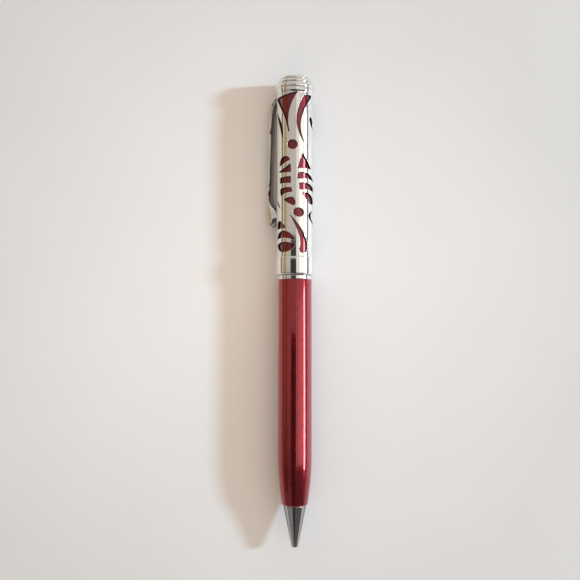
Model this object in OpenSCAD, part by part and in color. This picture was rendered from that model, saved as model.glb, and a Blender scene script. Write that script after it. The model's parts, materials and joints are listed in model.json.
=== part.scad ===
// Twist-action rollerball pen, lying on a flat surface.
// Every piece is drawn standing up, with z = 0 at the writing end, and lay() puts it on its side.
// In the stored frame the crown points to +Y, +Z is up, and the clip hangs low on the -X side.

/* [Overall] */

// Length of the closed pen, from the mouth of the nose cone to the crown (mm)
pen_length = 137.2; // [120:0.1:150]
// Radius of the straight part of the lower barrel (mm)
barrel_r = 5.0; // [4:0.05:7]
// Radius of the centre band, the widest round part, which the pen rests on (mm)
band_r = 5.72; // [5:0.01:8]
// Radius of the pierced sleeve (mm)
sleeve_r = 5.45; // [4.5:0.05:7.5]
// Gap left between pieces that turn or slide on each other (mm)
running_gap = 0.05; // [0.02:0.01:0.1]
// Gap left between pieces that are pressed or glued together (mm)
seat_gap = 0.01; // [0:0.01:0.05]

/* [Writing end] */

// Height where the nose cone meets the barrel (mm)
nose_top = 11.9; // [8:0.1:20]
// Radius of the nose cone's flat mouth (mm)
nose_mouth_r = 0.9; // [0.7:0.05:2]
// Radius of the nose cone where it meets the barrel (mm)
nose_base_r = 3.25; // [2:0.05:4.5]
// Height of the barrel's upper end, under the thin ring (mm)
barrel_top = 77.1; // [60:0.1:100]
// Height where the barrel's tapered grip reaches full thickness (mm)
taper_top = 26; // [15:0.5:40]
// Height of the thin ring (mm)
ring_height = 1.2; // [0.5:0.1:3]

/* [Cap] */

// Height of the centre band (mm)
band_height = 5.2; // [3:0.1:10]
// Height of the joint between the sleeve and the crown (mm)
crown_base = 133.4; // [100:0.1:150]
// Wall of the pierced sleeve (mm)
sleeve_wall = 0.5; // [0.3:0.05:1]
// Straight pieces that each curved side of an opening is drawn with
side_steps = 6; // [3:1:12]

/* [Clip] */

// Distance from the pen's centre line to the clip's outer face (mm)
clip_outer_r = 9.15; // [7:0.05:10]
// Width of the clip (mm)
clip_width = 3.2; // [2:0.1:5]
// Thickness of the clip's straight arm (mm)
clip_thickness = 1.05; // [0.6:0.05:2]
// Height of the clip's hinge line, where its root bends (mm)
clip_hinge_z = 131.1; // [100:0.1:135]
// Distance of the hinge line from the pen's centre line (mm)
clip_hinge_r = 5.95; // [5:0.05:7]

/* [Mechanism] */

// How far half a turn of the cap moves the refill (mm)
twist_travel = 4; // [2:0.5:6]
// Height of the cross pin when the point is retracted (mm)
pin_z = 90; // [85:0.5:95]
// Radius of the cross pin (mm)
pin_r = 0.55; // [0.4:0.05:0.8]
// Outer radius of the guide tube inside the cap (mm)
guide_r = 3.2; // [3:0.05:4]
// Inner radius of the guide tube (mm)
guide_bore_r = 2.5; // [2:0.05:3]
// Outer radius of the cam sleeve (mm)
cam_r = 4.0; // [3.5:0.05:4.3]

/* [Refill] */

// Height of the writing ball's front when the point is retracted (mm)
point_z = 1.7; // [1:0.1:4]
// Radius of the writing ball (mm)
ball_r = 0.35; // [0.15:0.05:0.5]
// Radius of the refill's needle (mm)
needle_r = 0.55; // [0.4:0.05:0.8]
// Radius of the refill's shank, behind the needle (mm)
shank_r = 1.2; // [1:0.05:1.6]
// Radius of the refill's ink tube (mm)
refill_r = 1.6; // [1.3:0.05:2.2]
// Turns of the return spring
spring_turns = 8; // [5:1:14]

/* [Hidden] */

$fn = 96;

chrome = [0.86, 0.87, 0.88];
red = [0.55, 0.06, 0.1];
brass = [0.78, 0.62, 0.3];
white = [0.92, 0.92, 0.9];
black = [0.08, 0.08, 0.09];
steel = [0.6, 0.62, 0.64];

tiny = 0.2;                                  // how far a cutting tool runs past a face
ring_top = barrel_top + ring_height;
band_base = ring_top + 0.1;
band_top = band_base + band_height;
sleeve_base = band_top;
sleeve_bore_r = sleeve_r - sleeve_wall;
cap_tube_r = sleeve_bore_r - 0.05;
cap_bore_r = cap_tube_r - 0.55;
barrel_bore_r = barrel_r - 0.65;
cap_tube_base = band_base + 1;
cap_tube_top = clip_hinge_z + 0.67;
anchor_base = clip_hinge_z - 0.05;           // underside of the clip's ring
shoulder_z = point_z + 13.8;                 // the step on the refill that the spring pushes
needle_top = point_z + 6.3;
tube_top = 82;
spring_seat_z = 7.2;
spring_r = 1.55;                             // radius of the spring's wire centre line
wire_r = 0.15;
cam_base = 83.2;
cam_top = 95.5;
guide_top = 99;
slot_half = pin_r + running_gap;

// Angles are measured round the pen from the top towards +X. The pen has rolled until the clip's
// lower edge all but touches the surface that the centre band rests on.
clip_edge = asin(clip_width / 2 / clip_outer_r);
clip_angle = acos((band_r - 0.003) / clip_outer_r) + clip_edge - 180;

// The pen's centre line stands over the middle of its own outline, and its widest band touches z = 0.
clip_reach = clip_outer_r * sin(-clip_angle - clip_edge);
axis_x = (clip_reach - band_r) / 2;

module lay() translate([axis_x, -pen_length / 2, band_r]) rotate([-90, 0, 0]) children();

// A tube from z = a to z = b.
module tube(r_out, r_in, a, b) difference() {
    translate([0, 0, a]) cylinder(r = r_out, h = b - a);
    translate([0, 0, a - tiny]) cylinder(r = r_in, h = b - a + 2 * tiny);
}

function bez(p, c, q, t) = (1 - t) * (1 - t) * p + 2 * t * (1 - t) * c + t * t * q;
function curve(p, c, q, n) = [for (i = [0 : n]) bez(p, c, q, i / n)];

// ---------------------------------------------------------------- lower half

// The grip swells in one smooth curve from the nose cone to the full barrel.
module lower_barrel() color(red) lay() rotate_extrude() polygon(concat(
    [[2.9, nose_top], [3.4, nose_top], [3.72, nose_top + 0.35]],
    curve([3.78, nose_top + 0.5], [barrel_r, 19.5], [barrel_r, taper_top], 10),
    [[barrel_r, barrel_top], [barrel_bore_r, barrel_top], [barrel_bore_r, 24],
     [3.6, 20.5], [3.6, 14], [2.9, 14]]
));

// Brass bush that takes the nose cone's screw thread.
module front_bush() color(brass) lay() tube(3.6 - seat_gap, 2.85, 14.05, 20.4);

module nose_cone() color(chrome) lay() rotate_extrude() polygon([
    [needle_r + 0.08, 0], [nose_mouth_r - 0.1, 0], [nose_mouth_r, 0.1],
    [nose_base_r, nose_top - 0.15], [nose_base_r - 0.05, nose_top - seat_gap],
    [2.84, nose_top - seat_gap], [2.84, 19.5], [2.1, 19.5], [2.1, 9], [1.95, spring_seat_z],
    [shank_r + 0.1, spring_seat_z], [shank_r + 0.1, 3.9], [needle_r + 0.08, 2.4]
]);

// Thin bright ring trapped between the barrel and the turning cap.
module barrel_ring() color(chrome) lay() rotate_extrude() polygon([
    [barrel_bore_r, barrel_top + seat_gap], [barrel_r, barrel_top + seat_gap],
    [barrel_r + 0.1, barrel_top + 0.15], [barrel_r + 0.1, ring_top - 0.15],
    [barrel_r, ring_top], [barrel_bore_r, ring_top]
]);

// Fixed tube of the twist mechanism. Its two straight slots let the cross pin slide but not turn.
module guide_tube() color(brass) lay() difference() {
    rotate_extrude() polygon([
        [guide_bore_r, 66], [barrel_bore_r - seat_gap, 66], [barrel_bore_r - seat_gap, ring_top - 0.02],
        [guide_r, ring_top - 0.02], [guide_r, 80.78], [2.83, 80.78], [2.83, 81.22], [guide_r, 81.22],
        [guide_r, 96.5], [2.85, 96.5], [2.85, 97.1], [guide_r, 97.1],
        [guide_r, guide_top], [guide_bore_r, guide_top]
    ]);
    translate([-5, -slot_half, pin_z - twist_travel - slot_half])
        cube([10, 2 * slot_half, twist_travel + 2 * slot_half]);
}

// Rubber ring that gives the twist its drag.
module friction_ring() color(black) lay() translate([0, 0, 81])
    rotate_extrude() translate([3.035, 0]) circle(r = 0.2, $fn = 32);

module thrust_washer() color(steel) lay() tube(4.1, guide_r + running_gap, 95.55, 96.45);

// Snap ring in the guide tube's groove. It keeps the cap from pulling off.
module retaining_ring() color(steel) lay() difference() {
    tube(3.9, 2.86, 96.52, 97.08);
    translate([0, -1, 96]) cube([5, 2, 2]);
}

// Wire coil between the nose cone's inner step and the refill's shoulder: a swept polyhedron.
module return_spring() color(steel) lay() {
    steps = spring_turns * 14;
    sides = 6;
    low = spring_seat_z + wire_r + 0.02;
    rise = shoulder_z - wire_r - 0.02 - low;
    points = [for (i = [0 : steps], k = [0 : sides - 1])
        let (turn = 360 * spring_turns * i / steps, r = spring_r + wire_r * cos(60 * k))
        [r * cos(turn), r * sin(turn), low + rise * i / steps + wire_r * sin(60 * k)]];
    walls = [for (i = [0 : steps - 1], k = [0 : sides - 1])
        let (a = i * sides + k, b = i * sides + (k + 1) % sides) [a, a + sides, b + sides, b]];
    ends = [[for (k = [0 : sides - 1]) k], [for (k = [sides - 1 : -1 : 0]) steps * sides + k]];
    polyhedron(points, concat(walls, ends));
}

// ---------------------------------------------------------------- cap

module centre_band() color(chrome) lay() rotate_extrude() polygon(concat(
    [[cap_bore_r + 0.01, band_base]],
    curve([band_r - 0.5, band_base], [band_r, band_base], [band_r, band_base + 0.6], 5),
    [[band_r, band_top - 0.12], [band_r - 0.1, band_top - seat_gap],
     [cap_tube_r + seat_gap, band_top - seat_gap], [cap_tube_r + seat_gap, cap_tube_base - seat_gap],
     [cap_bore_r + 0.01, cap_tube_base - seat_gap]]
));

// Plastic bush that the cap turns on.
module cap_bush() color(white) lay() tube(cap_bore_r - seat_gap, guide_r + running_gap, band_base, 83);

// Turning half of the twist mechanism. Two helical slots drive the ends of the cross pin.
module cam_sleeve() color(white) lay() difference() {
    rotate_extrude() polygon([
        [guide_r + running_gap, cam_base], [cam_r, cam_base], [cam_r, 93],
        [cap_bore_r - seat_gap, 93], [cap_bore_r - seat_gap, cam_top], [guide_r + running_gap, cam_top]
    ]);
    for (start = [0, 180]) helical_slot(start);
}

// Short straight cuts, each leaning at the helix angle, follow the pin through half a turn.
module helical_slot(start) {
    steps = 12;
    lean = atan(twist_travel / (PI * (guide_r + cam_r) / 2));
    run = PI * cam_r / steps / cos(lean);
    for (i = [0 : steps])
        rotate([0, 0, start - 180 * i / steps])
            translate([0, 0, pin_z - twist_travel * i / steps])
                rotate([lean, 0, 0])
                    translate([1.5, -run / 2 - 0.08, -slot_half]) cube([4, run + 0.16, 2 * slot_half]);
}

module cap_tube() color(red) lay() difference() {
    tube(cap_tube_r, cap_bore_r, cap_tube_base, cap_tube_top);
    rotate([0, 0, clip_angle]) translate([-clip_width / 2 - 0.15, -8, clip_hinge_z - 0.75])
        cube([clip_width + 0.3, 5, 2]);
}

// Outlines of the openings, as a middle angle and then sides: each side is its start and the
// point that its curve bends towards, both as [degrees from the top towards +X, height in mm].
openings = [
    [-34, [[[-79, 130.5], [-25, 131]], [[9, 131.9], [-33, 126.2]], [[-18, 120.3], [-20, 119.6]],
        [[-23, 120.4], [-32, 126]]]],
    [35, [[[30, 130.9], [48, 131.4]], [[64, 131.1], [-13, 123.5]], [[36, 115.9], [-25, 123.4]]]],
    [-67, [[[-91, 127.8], [-24, 122.5]], [[-45, 117.7], [-49, 122.2]]]],
    [62, [[[50, 124.1], [56, 125.5]], [[65, 124.2], [78, 122.6]], [[72, 121.3], [56, 122]]]],
    [-35, [[[-56, 110], [-54, 112.6]], [[-36, 112.9], [-20, 113]], [[-15, 111.8], [-34, 110.9]]]],
    [-37, [[[-62, 108.5], [-34, 109.2]], [[-15, 110.6], [-12, 109.6]], [[-13, 108.2], [-38, 107.9]]]],
    [-33, [[[-54, 106.7], [-33, 106.9]], [[-13, 106.9], [-13, 105.9]], [[-13, 104.9], [-33, 105.1]],
        [[-54, 105], [-54, 105.8]]]],
    [-31, [[[-53, 103.2], [-42, 104]], [[-12, 103.6], [-9, 103.4]], [[-9, 102.3], [-36, 102.3]],
        [[-48, 101.2], [-54, 102]]]],
    [-18, [[[-38, 100.1], [-22, 101]], [[-6, 100.8], [2, 99.8]], [[1, 98.9], [-4, 98]],
        [[-12, 98.7], [-26, 99.2]]]],
    [33, [[[24, 113.8], [44, 111.2]], [[60, 109.2], [34, 109.6]], [[7, 109.2], [12, 111.4]]]],
    [43, [[[9, 107.9], [50, 108.9]], [[78, 105.6], [50, 106.9]], [[8, 106.1], [5, 107]]]],
    [45, [[[12, 104.9], [50, 105.6]], [[78, 103.7], [80, 102.6]], [[72, 102.7], [48, 103.6]],
        [[16, 103], [11, 103.6]]]],
    [49, [[[22, 102.1], [48, 103]], [[76, 100.2], [78, 98.9]], [[60, 99], [38, 99.4]]]],
    [12, [[[-17, 95.9], [36, 90.4]], [[41, 86.9], [42, 84.7]], [[29, 84.7], [13, 84.5]],
        [[13, 85.8], [18, 87.2]], [[15, 88.8], [10, 91.2]]]],
    [-66, [[[-82, 100.6], [-60, 99.8]], [[-51, 97.6], [-66, 98.6]]]],
    [-49, [[[-70, 91.6], [-70, 94.4]], [[-54, 94.1], [-42, 93.6]], [[-28, 91.9], [-48, 91.9]]]],
    [-35, [[[-70, 88.7], [-66, 91.3]], [[-34, 91.1], [-12, 90.8]], [[-1, 88.3], [-36, 89.6]]]],
    [-35, [[[-70, 87], [-44, 88.7]], [[1, 87.1], [-10, 85]], [[-34, 84.9], [-60, 84.8]]]],
    [66, [[[72, 97.3], [14, 95.8]], [[84, 92.6], [38, 95.6]]]]
];
// Oval openings: middle angle, height, half width in degrees, half height, and tilt.
ovals = [[-8, 116.2, 16, 1.4, -6], [11, 96.4, 17, 1.3, -8]];

function outline(sides) = [for (i = [0 : len(sides) - 1], k = [0 : side_steps - 1])
    bez(sides[i][0], sides[i][1], sides[(i + 1) % len(sides)][0], k / side_steps)];

// Cuts one opening straight in towards the centre line, at the angle of its middle.
module pierce(middle) rotate([90, 0, middle]) translate([0, 0, 2]) linear_extrude(height = 5) children();

// Bright outer tube, pierced all round. The pattern covers half a turn and is cut twice.
module filigree_sleeve() color(chrome) lay() difference() {
    rotate_extrude() polygon([
        [sleeve_bore_r, sleeve_base], [sleeve_r - 0.12, sleeve_base], [sleeve_r, sleeve_base + 0.12],
        [sleeve_r, crown_base - 1.5], [sleeve_r + 0.2, crown_base - 1.2], [sleeve_r + 0.25, crown_base - 0.9],
        [sleeve_r + 0.25, crown_base - 0.1], [sleeve_r + 0.15, crown_base - 0.03],
        [sleeve_bore_r, crown_base - 0.03]
    ]);
    for (side = [0, 180]) rotate([0, 0, side]) {
        for (o = openings) pierce(o[0])
            polygon([for (p = outline(o[1])) [sleeve_r * sin(p[0] - o[0]), p[1]]]);
        for (o = ovals) pierce(o[0]) translate([0, o[1]]) rotate(o[4])
            polygon([for (t = [0 : 15 : 345]) [sleeve_r * sin(o[2]) * cos(t), o[3] * sin(t)]]);
    }
    rotate([0, 0, clip_angle]) translate([-clip_width / 2 - 0.15, -8, clip_hinge_z - 0.75])
        cube([clip_width + 0.3, 4, 1.5]);
}

// Plug in the cap tube's top. The crown screw pulls the clip's ring down onto it.
module top_bush() color(brass) lay() difference() {
    translate([0, 0, 124]) cylinder(r = cap_bore_r - seat_gap, h = anchor_base - seat_gap - 124);
    translate([0, 0, 123]) cylinder(r = 1.46, h = 9);
}

// Ring under the crown with one block that reaches out through the sleeve and cradles the clip's root.
module clip_anchor() color(chrome) lay() difference() {
    union() {
        tube(cap_bore_r - seat_gap, 1.5, anchor_base, clip_hinge_z + 0.65);
        rotate([0, 0, clip_angle]) translate([-clip_width / 2, -5.7, clip_hinge_z - 0.05])
            cube([clip_width, 2, 0.7]);
        rotate([0, 0, clip_angle]) translate([-clip_width / 2, -5.7, clip_hinge_z - 0.65])
            cube([clip_width, 0.75, 0.9]);
    }
    clip_knuckle(0.55 + running_gap, 1);
}

module clip_knuckle(r, extra) rotate([0, 0, clip_angle])
    translate([-clip_width / 2 - extra, -clip_hinge_r, clip_hinge_z])
        rotate([0, 90, 0]) cylinder(r = r, h = clip_width + 2 * extra);

// The clip's side outline as [distance from the centre line, height]: shoulder, arm, and a foot
// that swells inwards until it touches the sleeve.
clip_in = clip_outer_r - clip_thickness;
clip_lean = 0.65;                            // the arm stands out this much further at its foot
clip_outline = concat(
    curve([clip_hinge_r, clip_hinge_z + 0.55], [clip_outer_r - clip_lean, clip_hinge_z + 0.3],
        [clip_outer_r - clip_lean, 124.5], 8),
    curve([clip_outer_r + 0.02, 98.5], [clip_outer_r + 0.05, 93.3], [7.4, 93], 8),
    curve([7.1, 93.1], [4.47, 95.2], [6.1, 97.6], 8),
    curve([6.5, 98.6], [clip_in - 0.1, 99.8], [clip_in - 0.02, 102.5], 6),
    curve([clip_in - clip_lean, 124.5], [clip_in - clip_lean - 0.15, 129.3],
        [clip_hinge_r, clip_hinge_z - 0.55], 8)
);

// One stamped and curved arm. Its outer face follows a circle about the pen's centre line.
module pocket_clip() color(chrome) lay() {
    intersection() {
        cylinder(r = clip_outer_r, h = 200);
        rotate([90, 0, clip_angle + 90]) translate([0, 0, -clip_width / 2])
            linear_extrude(height = clip_width) polygon([for (p = clip_outline) [-p[0], p[1]]]);
    }
    clip_knuckle(0.55, 0);
}

// Three rounded steps and a flat end.
module crown() color(chrome) lay() difference() {
    rotate_extrude() polygon(concat(
        [[0, crown_base - 1.6], [4.88, crown_base - 1.6], [4.88, crown_base], [5.45, crown_base]],
        curve([5.45, crown_base], [5.75, crown_base + 0.1], [5.68, crown_base + 0.75], 4),
        curve([5.62, crown_base + 1.1], [5.5, crown_base + 1.5], [5.05, crown_base + 1.55], 4),
        curve([5.05, crown_base + 1.6], [5.4, crown_base + 1.75], [5.2, crown_base + 2.2], 4),
        curve([5.1, crown_base + 2.45], [4.8, crown_base + 2.65], [4.15, crown_base + 2.65], 4),
        curve([4.15, crown_base + 2.7], [4.5, crown_base + 2.9], [4.15, crown_base + 3.3], 4),
        curve([3.9, crown_base + 3.55], [3.5, pen_length], [2.6, pen_length], 4),
        [[0, pen_length]]
    ));
    translate([0, 0, crown_base - 2]) cylinder(r = 1.46, h = 3.6);
}

module crown_screw() color(steel) lay() translate([0, 0, 125.5]) cylinder(r = 1.45, h = 9.3);

// ---------------------------------------------------------------- refill

module refill_tube() color(white) lay() tube(refill_r, 1.25, shoulder_z + 0.8, tube_top);

module refill_plug() color(white) lay() rotate_extrude() polygon([
    [0, tube_top - 3], [1.24, tube_top - 3], [1.24, tube_top + 0.01], [refill_r, tube_top + 0.01],
    [refill_r, tube_top + 1.5], [1.2, tube_top + 1.5], [1.2, tube_top + 5], [0, tube_top + 5]
]);

// Fibre rod that holds the ink.
module ink_reservoir() color([0.1, 0.1, 0.3]) lay() translate([0, 0, shoulder_z + 5])
    cylinder(r = 1.22, h = tube_top - 3.5 - shoulder_z - 5);

// Metal point: shoulder, shank and needle, with a round socket for the ball.
module refill_point() color(steel) lay() difference() {
    rotate_extrude() polygon([
        [0, point_z + 0.18], [ball_r + 0.03, point_z + 0.18], [needle_r, point_z + 0.9],
        [needle_r, needle_top], [shank_r, needle_top + 1.2], [shank_r, shoulder_z],
        [refill_r, shoulder_z], [refill_r, shoulder_z + 0.79], [1.24, shoulder_z + 0.79],
        [1.24, shoulder_z + 4.8], [0, shoulder_z + 4.8]
    ]);
    translate([0, 0, point_z + ball_r]) sphere(r = ball_r + 0.02);
    translate([0, 0, point_z + ball_r]) cylinder(r = 0.15, h = 20);
}

module writing_ball() color([0.3, 0.3, 0.32]) lay() translate([0, 0, point_z + ball_r]) sphere(r = ball_r);

// Slides inside the guide tube and holds the refill's rear peg.
module cam_follower() color(white) lay() difference() {
    translate([0, 0, tube_top + 1.55]) cylinder(r = guide_bore_r - running_gap, h = 9);
    translate([0, 0, tube_top + 1]) cylinder(r = 1.21, h = 4.1);
    translate([-5, 0, pin_z]) rotate([0, 90, 0]) cylinder(r = pin_r + seat_gap, h = 10);
}

module follower_pin() color(steel) lay() translate([-3.95, 0, pin_z]) rotate([0, 90, 0])
    cylinder(r = pin_r, h = 7.9);

// ---------------------------------------------------------------- nodes

lower_barrel();
front_bush();
nose_cone();
barrel_ring();
guide_tube();
friction_ring();
thrust_washer();
retaining_ring();
return_spring();
centre_band();
cap_bush();
cam_sleeve();
cap_tube();
filigree_sleeve();
top_bush();
clip_anchor();
crown();
crown_screw();
pocket_clip();
refill_tube();
refill_plug();
ink_reservoir();
refill_point();
writing_ball();
cam_follower();
follower_pin();
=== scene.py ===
# %% [markdown]
# # A twist-action rollerball pen
# This pen is a stack of turned and drawn metal parts on one straight axis: a red barrel, a bright
# nose cone and crown, and a cap made of a pierced chrome tube over a red one. The working model
# already exists as exact solids, with real joints. This notebook loads it and makes what the eye
# sees: finer surfaces with softened edges, and finishes with the small marks that real ones have.

# %% Load the working model
import json
import math
import bpy
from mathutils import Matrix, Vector
from mathutils.geometry import delaunay_2d_cdt


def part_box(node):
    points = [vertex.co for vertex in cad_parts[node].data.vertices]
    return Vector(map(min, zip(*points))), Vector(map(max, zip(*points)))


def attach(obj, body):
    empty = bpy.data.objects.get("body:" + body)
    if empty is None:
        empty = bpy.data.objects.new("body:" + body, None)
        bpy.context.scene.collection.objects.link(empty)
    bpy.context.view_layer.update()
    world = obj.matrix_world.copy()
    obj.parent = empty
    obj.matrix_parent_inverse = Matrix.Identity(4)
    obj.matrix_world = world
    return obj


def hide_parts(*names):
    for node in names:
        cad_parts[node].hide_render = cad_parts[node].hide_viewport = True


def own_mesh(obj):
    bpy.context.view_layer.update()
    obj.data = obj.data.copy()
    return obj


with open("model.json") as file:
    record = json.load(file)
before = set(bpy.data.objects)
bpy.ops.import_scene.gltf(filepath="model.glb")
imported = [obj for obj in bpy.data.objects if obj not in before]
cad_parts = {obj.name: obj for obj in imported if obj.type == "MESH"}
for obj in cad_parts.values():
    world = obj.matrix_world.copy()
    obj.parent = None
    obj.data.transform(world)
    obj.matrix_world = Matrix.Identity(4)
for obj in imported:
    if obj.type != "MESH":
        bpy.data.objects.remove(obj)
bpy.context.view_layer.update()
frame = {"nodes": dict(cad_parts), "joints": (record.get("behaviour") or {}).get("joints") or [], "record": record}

# %% [markdown]
# ## One ruler for every piece
# Each part is round about the pen's own axis, so it is easiest to think in three numbers: the
# distance from the axis, the angle round it, and the height above the writing end. Working in
# millimetres keeps the numbers readable. One function turns the three into a place in the scene,
# and it takes the axis from the barrel of the working model, so the pieces can't drift from it.

# %% Millimetres from the writing end
MM = 0.001
barrel_low, barrel_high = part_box("lower_barrel")
AXIS_X = (barrel_low.x + barrel_high.x) / 2
AXIS_Z = (barrel_low.z + barrel_high.z) / 2
TIP_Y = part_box("nose_cone")[0].y


def place(out, angle, height):
    """A point at a distance from the axis, an angle from straight up towards +X, and a height."""
    turn = math.radians(angle)
    x, z = AXIS_X + out * math.sin(turn) * MM, AXIS_Z + out * math.cos(turn) * MM
    return Vector((x, TIP_Y + height * MM, z))


def height_of(node):
    """Lowest and highest point of a working part, in millimetres from the writing end."""
    low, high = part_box(node)
    return (low.y - TIP_Y) / MM, (high.y - TIP_Y) / MM


def reach_of(node):
    """Outer radius of a round working part, in millimetres."""
    low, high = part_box(node)
    return (high.z - low.z) / 2 / MM


pen_length = height_of("crown")[1]
print("pen length %.1f mm, barrel radius %.2f mm" % (pen_length, reach_of("lower_barrel")))

# %% [markdown]
# ## The camera
# The pen lies on a table and is looked at from above, from about a quarter of a metre, a little
# nearer to its writing end than to its crown. Such a short distance shows the crown slightly from
# below. A camera could be aimed with a constraint, but plain numbers are easier to read later.

# %% Camera above the pen
camera_data = bpy.data.cameras.new("camera")
camera_data.sensor_width = 36
camera_data.lens = 53.19
camera_data.clip_start = 0.01
camera = bpy.data.objects.new("camera", camera_data)
bpy.context.scene.collection.objects.link(camera)
bpy.context.scene.camera = camera
camera.location = (AXIS_X - 1.42 * MM, TIP_Y + 59.47 * MM, AXIS_Z + 251 * MM)
camera.rotation_euler = (math.radians(3.35), 0, math.radians(0.06))
print("camera %.0f mm above the table" % (camera.location.z / MM))

# %% [markdown]
# ## Helpers for finishes
# Every finish is a Principled shader with procedural textures behind its colour, roughness and
# bump. Textures use object coordinates, in metres, so a scale of 1000 means one cell in a
# millimetre. Keeping the wiring in a small helper lets each finish below read as a recipe.


# %% Finish helpers
def new_finish(name, colour, metallic, roughness):
    """A material with its Principled shader, ready for textures. Returns the material and shader."""
    material = bpy.data.materials.new(name)
    material.use_nodes = True
    shader = material.node_tree.nodes["Principled BSDF"]
    shader.inputs["Base Color"].default_value = (*colour, 1)
    shader.inputs["Metallic"].default_value = metallic
    shader.inputs["Roughness"].default_value = roughness
    return material, shader


def add(material, kind, **settings):
    """Adds a node, and sets its properties and its input sockets by name."""
    node = material.node_tree.nodes.new(kind)
    for key, value in settings.items():
        if hasattr(node, key):
            setattr(node, key, value)
        else:
            node.inputs[key.replace("_", " ")].default_value = value
    return node


def join(material, source, target):
    """Links an output socket to an input socket."""
    material.node_tree.links.new(source, target)


def coordinates(material, stretch=(1, 1, 1)):
    """Object coordinates, stretched along an axis for marks that run one way."""
    where = add(material, "ShaderNodeTexCoord")
    mapping = add(material, "ShaderNodeMapping")
    mapping.inputs["Scale"].default_value = stretch
    join(material, where.outputs["Object"], mapping.inputs["Vector"])
    return mapping.outputs["Vector"]


def noise(material, vector, scale, detail=4.0):
    """Soft random patches. A larger scale gives smaller patches."""
    texture = add(material, "ShaderNodeTexNoise", Scale=scale, Detail=detail, Roughness=0.55)
    join(material, vector, texture.inputs["Vector"])
    return texture.outputs["Fac"]


def spread(material, value, low, high, start=0.3, end=0.7):
    """Stretches a noise value from start..end to low..high."""
    node = add(material, "ShaderNodeMapRange", From_Min=start, From_Max=end, To_Min=low, To_Max=high)
    join(material, value, node.inputs["Value"])
    return node.outputs["Result"]


def blend_colours(material, value, first, second):
    """A colour between two, by a value from 0 to 1."""
    ramp = add(material, "ShaderNodeValToRGB")
    ramp.color_ramp.elements[0].color = (*first, 1)
    ramp.color_ramp.elements[1].color = (*second, 1)
    join(material, value, ramp.inputs["Fac"])
    return ramp.outputs["Color"]


def tint(material, shader, value, first, second):
    """The finish's colour drifts between two, by a value."""
    join(material, blend_colours(material, value, first, second), shader.inputs["Base Color"])


def dull(material, shader, value, low, high, start=0.3, end=0.7):
    """The finish's roughness drifts between two, by a value."""
    join(material, spread(material, value, low, high, start, end), shader.inputs["Roughness"])


def dent(material, shader, value, depth, strength):
    """Bump from a value. Depth is in metres."""
    bump = add(material, "ShaderNodeBump", Strength=strength, Distance=depth)
    join(material, value, bump.inputs["Height"])
    join(material, bump.outputs["Normal"], shader.inputs["Normal"])


# %% [markdown]
# ## Chrome plating
# Chrome is nearly a mirror, so what makes it look real is how it fails to be one: a film of finger
# grease in soft patches, and fine hairlines round the part from polishing. Both are noise, at
# different scales. The nose cone is the same chrome with its colour darkened, which is painted
# shade, and it is painted darker still where it turns away from the eye, as the clip's sides are.
# On a metal, the Specular Tint socket sets how dark that painted shade at the sides is.


# %% Chrome
GREASY_CHROME = Vector((0.80, 0.805, 0.81))
CLEAN_CHROME = Vector((0.88, 0.88, 0.885))


def make_chrome(name, polish=0.035, smear=0.06, shine=1.0, edge=1.0):
    """Plating with its polish and smears. Shine scales its colour; a low edge paints shade at its sides."""
    material, shader = new_finish(name, (0.86, 0.865, 0.87), 1.0, polish)
    patches = noise(material, coordinates(material), 260, 5)
    dull(material, shader, patches, polish, polish + smear)
    tint(material, shader, patches, shine * GREASY_CHROME, shine * CLEAN_CHROME)
    # Painted shade: an edge value below 1 darkens the plating where it turns away from the eye.
    shader.inputs["Specular Tint"].default_value = (edge, edge, edge, 1)
    hairlines = noise(material, coordinates(material, (1, 26, 1)), 900, 3)
    dent(material, shader, hairlines, 2.5e-7, 0.35)
    return material


chrome = make_chrome("chrome plate")
# Painted shade: the clip's plating is darkened at its sides, and the nose cone's all over and at its sides.
clip_chrome = make_chrome("chrome plate of the clip", 0.05, 0.07, 0.95, 0.1)
nose_chrome_painted_dark = make_chrome("nose cone chrome in painted shade", 0.06, 0.08, 0.74, 0.1)
print("made", chrome.name, "and two more platings")

# %% [markdown]
# The cut walls of the openings are painted nearly black, with a streaky grain: painted shade,
# the shade down in each opening. It draws the pattern's black outline.


# %% Cut walls in painted shade
def make_shaded_walls():
    """Nearly black walls with a streaky grain, painted as the shade down in the openings."""
    material, shader = new_finish("cut walls in painted shade", (0.03, 0.026, 0.026), 0.6, 0.5)
    streaks = noise(material, coordinates(material), 3200, 4)
    tint(material, shader, streaks, (0.012, 0.010, 0.010), (0.06, 0.052, 0.05))
    dull(material, shader, streaks, 0.4, 0.65)
    dent(material, shader, streaks, 3e-6, 0.5)
    return material


shaded_wall_finish = make_shaded_walls()
print("made", shaded_wall_finish.name)

# %% [markdown]
# ## Red metallic lacquer
# The barrel is lacquered brass. Light goes through a clear coat, then through red dye, and bounces
# off tiny flakes of aluminium, so the red is a metal's red: it shines where it mirrors light and
# is nearly black where it doesn't. A plain red paint would look chalky beside the chrome. The
# flakes are Voronoi cells that change the tint and tilt a little, and the coat has its own gloss.


# %% Red lacquer
FLECK_SIZE = 16000.0  # flecks in a metre
FLECK_SHARE = 0.35


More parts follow.
